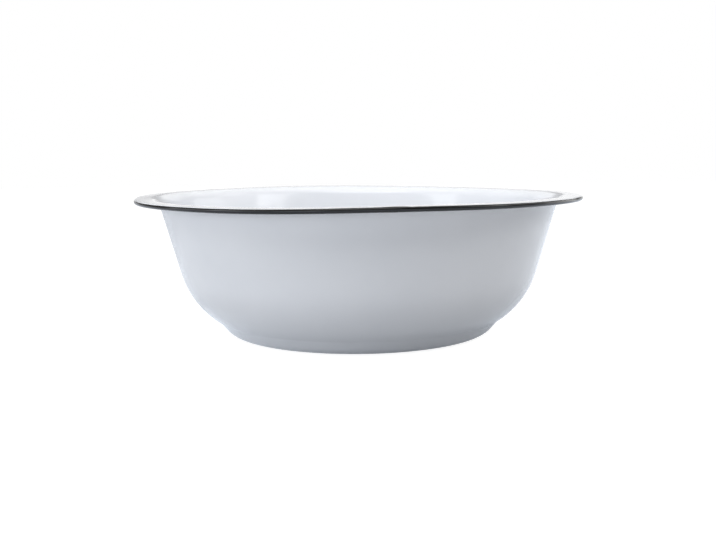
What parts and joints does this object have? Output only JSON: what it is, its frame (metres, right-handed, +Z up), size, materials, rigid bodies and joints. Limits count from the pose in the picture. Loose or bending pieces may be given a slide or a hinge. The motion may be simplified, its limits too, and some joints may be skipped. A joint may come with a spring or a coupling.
{
  "type": "enamel basin bowl",
  "caption": "White enamelled steel basin with a flat flange, a dark rolled rim, steep sides, a round belly and a low stepped foot, for washing, mixing or serving.",
  "frame": {"origin": "centre of the seat ring, in the plane of the table that the basin stands on", "axes": "+Z up along the axis of revolution; X and Y are level and have no preferred direction"},
  "size_m": [0.3399, 0.34, 0.1055],
  "materials": {
    "sheet_steel": "satin",
    "ground_enamel": "gloss",
    "white_enamel": "gloss",
    "black_enamel": "gloss"
  },
  "bodies": {
    "root": {"steel_shell": "sheet_steel", "ground_coat_inner": "ground_enamel", "ground_coat_outer": "ground_enamel", "white_coat_inner": "white_enamel", "white_coat_outer": "white_enamel", "rim_coat": "black_enamel"}
  },
  "joints": []
}
